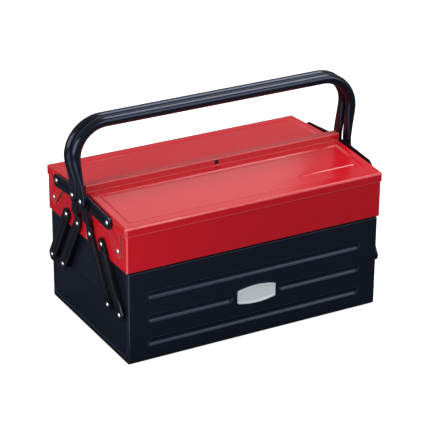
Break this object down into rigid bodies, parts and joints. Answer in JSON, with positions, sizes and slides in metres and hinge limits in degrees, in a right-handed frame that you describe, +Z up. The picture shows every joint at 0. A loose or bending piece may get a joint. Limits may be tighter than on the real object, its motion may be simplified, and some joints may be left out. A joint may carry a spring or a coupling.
{
  "type": "cantilever tool box",
  "caption": "Sheet steel cantilever tool box: trays swing out level on side links while hinged lids open and tubular carrying handles fold outwards.",
  "frame": {"origin": "middle of the underside of the base box, on the surface it stands on", "axes": "+X along the length of the box to the right-hand end, +Y from front to rear, +Z up"},
  "size_m": [0.402, 0.2229, 0.2855],
  "materials": {
    "base_enamel": "gloss baked enamel, blue-black",
    "tray_enamel": "gloss baked enamel, red",
    "link_enamel": "semi-gloss black paint",
    "handle_enamel": "semi-gloss black paint on steel tube",
    "rivet_steel": "zinc-plated, headed",
    "badge_plate": "satin, blank face with polished rim"
  },
  "bodies": {
    "base": {"base_body": "base_enamel", "base_end_left": "base_enamel", "base_end_right": "base_enamel", "badge": "badge_plate", "base_link_spacers": "link_enamel", "base_link_rivets": "rivet_steel"},
    "front_outer_links": {"front_outer_link_left": "link_enamel", "front_outer_link_right": "link_enamel"},
    "front_inner_links": {"front_inner_link_left": "link_enamel", "front_inner_link_right": "link_enamel", "front_handle_rivets": "rivet_steel"},
    "front_tray": {"front_tray_body": "tray_enamel", "front_tray_end_left": "tray_enamel", "front_tray_end_right": "tray_enamel", "front_tray_spacers": "link_enamel", "front_tray_rivets": "rivet_steel", "front_lid_hinge_rivets": "rivet_steel"},
    "front_lid_body": {"front_lid": "tray_enamel"},
    "front_lid_arms": {"front_lid_arm_left": "link_enamel", "front_lid_arm_right": "link_enamel", "front_lid_arm_spacers": "link_enamel", "front_lid_arm_rivets": "rivet_steel"},
    "front_handle_body": {"front_handle": "handle_enamel"},
    "rear_outer_links": {"rear_outer_link_left": "link_enamel", "rear_outer_link_right": "link_enamel"},
    "rear_inner_links": {"rear_inner_link_left": "link_enamel", "rear_inner_link_right": "link_enamel", "rear_handle_rivets": "rivet_steel"},
    "rear_tray": {"rear_tray_body": "tray_enamel", "rear_tray_end_left": "tray_enamel", "rear_tray_end_right": "tray_enamel", "rear_tray_spacers": "link_enamel", "rear_tray_rivets": "rivet_steel", "rear_lid_hinge_rivets": "rivet_steel"},
    "rear_lid_body": {"rear_lid": "tray_enamel"},
    "rear_lid_arms": {"rear_lid_arm_left": "link_enamel", "rear_lid_arm_right": "link_enamel", "rear_lid_arm_spacers": "link_enamel", "rear_lid_arm_rivets": "rivet_steel"},
    "rear_handle_body": {"rear_handle": "handle_enamel"}
  },
  "joints": [
    {"name": "front_tray_swing", "type": "hinge", "parent": "base", "child": "front_outer_links", "pos_m": [0, -0.096, 0.0655], "axis": [1, 0, 0], "range_deg": [0, 63]},
    {"name": "front_inner_link_swing", "type": "hinge", "parent": "base", "child": "front_inner_links", "pos_m": [0, -0.064, 0.0655], "axis": [1, 0, 0], "range_deg": [0, 63]},
    {"name": "front_tray_level", "type": "hinge", "parent": "front_outer_links", "child": "front_tray", "pos_m": [0, -0.0495, 0.1405], "axis": [-1, 0, 0], "range_deg": [0, 63]},
    {"name": "front_lid_hinge", "type": "hinge", "parent": "front_tray", "child": "front_lid_body", "pos_m": [0, -0.09, 0.1475], "axis": [1, 0, 0], "range_deg": [0, 72.6]},
    {"name": "front_lid_arm_hinge", "type": "hinge", "parent": "front_inner_links", "child": "front_lid_arms", "pos_m": [0, -0.0115, 0.183], "axis": [-1, 0, 0], "range_deg": [0, 77.7]},
    {"name": "front_handle_tilt", "type": "hinge", "parent": "front_inner_links", "child": "front_handle_body", "pos_m": [0, -0.0115, 0.183], "axis": [1, 0, 0], "range_deg": [0, 70]},
    {"name": "rear_tray_swing", "type": "hinge", "parent": "base", "child": "rear_outer_links", "pos_m": [0, 0.096, 0.0655], "axis": [-1, 0, 0], "range_deg": [0, 63]},
    {"name": "rear_inner_link_swing", "type": "hinge", "parent": "base", "child": "rear_inner_links", "pos_m": [0, 0.064, 0.0655], "axis": [-1, 0, 0], "range_deg": [0, 63]},
    {"name": "rear_tray_level", "type": "hinge", "parent": "rear_outer_links", "child": "rear_tray", "pos_m": [0, 0.0495, 0.1405], "axis": [1, 0, 0], "range_deg": [0, 63]},
    {"name": "rear_lid_hinge", "type": "hinge", "parent": "rear_tray", "child": "rear_lid_body", "pos_m": [0, 0.09, 0.1475], "axis": [-1, 0, 0], "range_deg": [0, 72.6]},
    {"name": "rear_lid_arm_hinge", "type": "hinge", "parent": "rear_inner_links", "child": "rear_lid_arms", "pos_m": [0, 0.0115, 0.183], "axis": [1, 0, 0], "range_deg": [0, 77.7]},
    {"name": "rear_handle_tilt", "type": "hinge", "parent": "rear_inner_links", "child": "rear_handle_body", "pos_m": [0, 0.0115, 0.183], "axis": [-1, 0, 0], "range_deg": [0, 70]}
  ],
  "couplings": [
    {"joint": "front_inner_link_swing", "follows": "front_tray_swing", "ratio": 1},
    {"joint": "front_tray_level", "follows": "front_tray_swing", "ratio": 1},
    {"joint": "front_lid_hinge", "follows": "front_tray_swing", "ratio": 1.152},
    {"joint": "front_lid_arm_hinge", "follows": "front_tray_swing", "ratio": 1.233},
    {"joint": "rear_inner_link_swing", "follows": "rear_tray_swing", "ratio": 1},
    {"joint": "rear_tray_level", "follows": "rear_tray_swing", "ratio": 1},
    {"joint": "rear_lid_hinge", "follows": "rear_tray_swing", "ratio": 1.152},
    {"joint": "rear_lid_arm_hinge", "follows": "rear_tray_swing", "ratio": 1.233}
  ]
}
